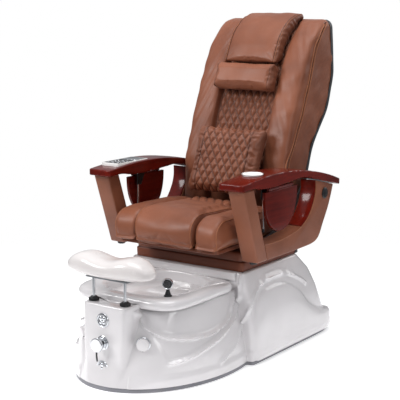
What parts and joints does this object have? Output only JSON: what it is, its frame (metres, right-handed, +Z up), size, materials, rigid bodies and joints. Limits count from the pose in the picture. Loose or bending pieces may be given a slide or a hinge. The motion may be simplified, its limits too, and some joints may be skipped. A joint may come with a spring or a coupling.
{
  "type": "pedicure spa chair",
  "caption": "Reclining massage chair on a moulded pedestal with a foot basin, footrest, taps, lift-up arms and fold-out manicure trays.",
  "frame": {"origin": "on the floor, under the middle of the whole chair", "axes": "+Z up, the sitter looks along -Y, +X is the sitter's left"},
  "size_m": [0.8, 1.4195, 1.456],
  "materials": {
    "leather": "satin, saddle brown",
    "mahogany": "gloss lacquer",
    "pearl_shell": "gloss pearl",
    "white_pad": "soft gloss",
    "grey_trim": "matte",
    "chrome": "polished",
    "steel": "satin",
    "black_plastic": "matte",
    "charcoal_shell": "matte",
    "ceramic": "gloss"
  },
  "bodies": {
    "base": {"base_pan": "grey_trim", "base_shell": "pearl_shell", "foot_basin": "pearl_shell", "drain_strainer": "chrome", "drain_pipe": "black_plastic", "jet_cover": "ceramic", "air_nozzle": "chrome", "shower_socket": "black_plastic", "jet_pump": "black_plastic", "control_box": "charcoal_shell", "post_guide_left": "steel", "post_guide_right": "steel", "diverter_rose": "chrome", "mixer_rose": "chrome", "air_button_bezel": "chrome", "seat_plinth": "leather", "slide_actuator": "black_plastic", "seat_rail_left": "steel", "seat_rail_right": "steel"},
    "footrest": {"footrest_pad": "white_pad", "footrest_plate": "steel", "footrest_post_left": "chrome", "footrest_post_right": "chrome"},
    "collar_left": {"lock_collar_left": "black_plastic"},
    "collar_right": {"lock_collar_right": "black_plastic"},
    "diverter": {"diverter_knob": "chrome"},
    "mixer_turn": {"mixer_hub": "chrome"},
    "mixer_lift": {"mixer_lever": "chrome"},
    "air_button_body": {"air_button": "chrome"},
    "air_dial_left": {"air_knob_left": "chrome"},
    "air_dial_right": {"air_knob_right": "chrome"},
    "shower": {"hand_shower": "chrome"},
    "seat": {"seat_frame": "steel", "seat_cushion": "leather", "arm_bracket_left": "steel", "arm_bracket_right": "steel", "recline_gearmotor": "black_plastic"},
    "backrest": {"back_cushion": "leather", "back_shell": "charcoal_shell", "massage_rail_left": "steel", "massage_rail_right": "steel", "head_pad": "leather", "neck_pillow": "leather", "lumbar_pillow": "leather"},
    "massage": {"massage_carriage": "black_plastic"},
    "arm_left": {"arm_post_left": "leather", "arm_quarter_left": "leather", "arm_top_left": "mahogany", "arm_pivot_cap_left": "black_plastic", "tray_bracket_left": "black_plastic"},
    "tray_leaf_left": {"tray_left": "mahogany"},
    "arm_right": {"arm_post_right": "leather", "arm_quarter_right": "leather", "arm_top_right": "mahogany", "arm_pivot_cap_right": "black_plastic", "tray_bracket_right": "black_plastic"},
    "tray_leaf_right": {"tray_right": "mahogany"},
    "bowl": {"manicure_bowl": "ceramic"},
    "remote": {"handset": "black_plastic"}
  },
  "joints": [
    {"name": "footrest_height", "type": "slide", "parent": "base", "child": "footrest", "axis": [0, 0, 1], "range_m": [-0.07, 0.08]},
    {"name": "collar_left_turn", "type": "hinge", "parent": "base", "child": "collar_left", "pos_m": [0.08, -0.613, 0.348], "axis": [0, 0, 1], "range_deg": [0, 120]},
    {"name": "collar_right_turn", "type": "hinge", "parent": "base", "child": "collar_right", "pos_m": [-0.08, -0.613, 0.348], "axis": [0, 0, 1], "range_deg": [0, 120]},
    {"name": "diverter_turn", "type": "hinge", "parent": "base", "child": "diverter", "pos_m": [0, -0.65, 0.278], "axis": [0, -1, 0], "range_deg": [0, 90]},
    {"name": "mixer_temperature", "type": "hinge", "parent": "base", "child": "mixer_turn", "pos_m": [0, -0.67, 0.186], "axis": [0, -1, 0], "range_deg": [-45, 45]},
    {"name": "mixer_flow", "type": "hinge", "parent": "mixer_turn", "child": "mixer_lift", "pos_m": [0, -0.6813, 0.186], "axis": [-1, 0, 0], "range_deg": [0, 20]},
    {"name": "air_button_press", "type": "slide", "parent": "base", "child": "air_button_body", "axis": [0, 1, 0], "range_m": [0, 0.004], "stiffness_N_per_m": 500},
    {"name": "air_dial_left_turn", "type": "hinge", "parent": "base", "child": "air_dial_left", "pos_m": [0.14854, -0.58706, 0.189], "axis": [0.4585, -0.8887, 0], "range_deg": [0, 270]},
    {"name": "air_dial_right_turn", "type": "hinge", "parent": "base", "child": "air_dial_right", "pos_m": [-0.14854, -0.58706, 0.189], "axis": [-0.4585, -0.8887, 0], "range_deg": [-270, 0]},
    {"name": "hand_shower_lift", "type": "slide", "parent": "base", "child": "shower", "axis": [0, 0, 1], "range_m": [0, 0.12]},
    {"name": "seat_slide", "type": "slide", "parent": "base", "child": "seat", "axis": [0, -1, 0], "range_m": [-0.05, 0.09]},
    {"name": "backrest_recline", "type": "hinge", "parent": "seat", "child": "backrest", "pos_m": [0, 0.32, 0.58], "axis": [-1, 0, 0], "range_deg": [0, 32]},
    {"name": "massage_travel", "type": "slide", "parent": "backrest", "child": "massage", "axis": [0, 0.3064, 0.9519], "range_m": [-0.12, 0.28]},
    {"name": "arm_left_lift", "type": "hinge", "parent": "seat", "child": "arm_left", "pos_m": [0.39, 0.426, 0.673], "axis": [-1, 0, 0], "range_deg": [0, 75]},
    {"name": "tray_left_fold", "type": "hinge", "parent": "arm_left", "child": "tray_leaf_left", "pos_m": [0.36, 0.092, 0.745], "axis": [0, -1, 0], "range_deg": [0, 90]},
    {"name": "arm_right_lift", "type": "hinge", "parent": "seat", "child": "arm_right", "pos_m": [-0.39, 0.426, 0.673], "axis": [-1, 0, 0], "range_deg": [0, 75]},
    {"name": "tray_right_fold", "type": "hinge", "parent": "arm_right", "child": "tray_leaf_right", "pos_m": [-0.36, 0.092, 0.745], "axis": [0, 1, 0], "range_deg": [0, 90]},
    {"name": "manicure_bowl_lift", "type": "slide", "parent": "arm_left", "child": "bowl", "axis": [0, 0, 1], "range_m": [0, 0.06]},
    {"name": "handset_lift", "type": "slide", "parent": "arm_right", "child": "remote", "axis": [0, 0, 1], "range_m": [0, 0.06]}
  ]
}
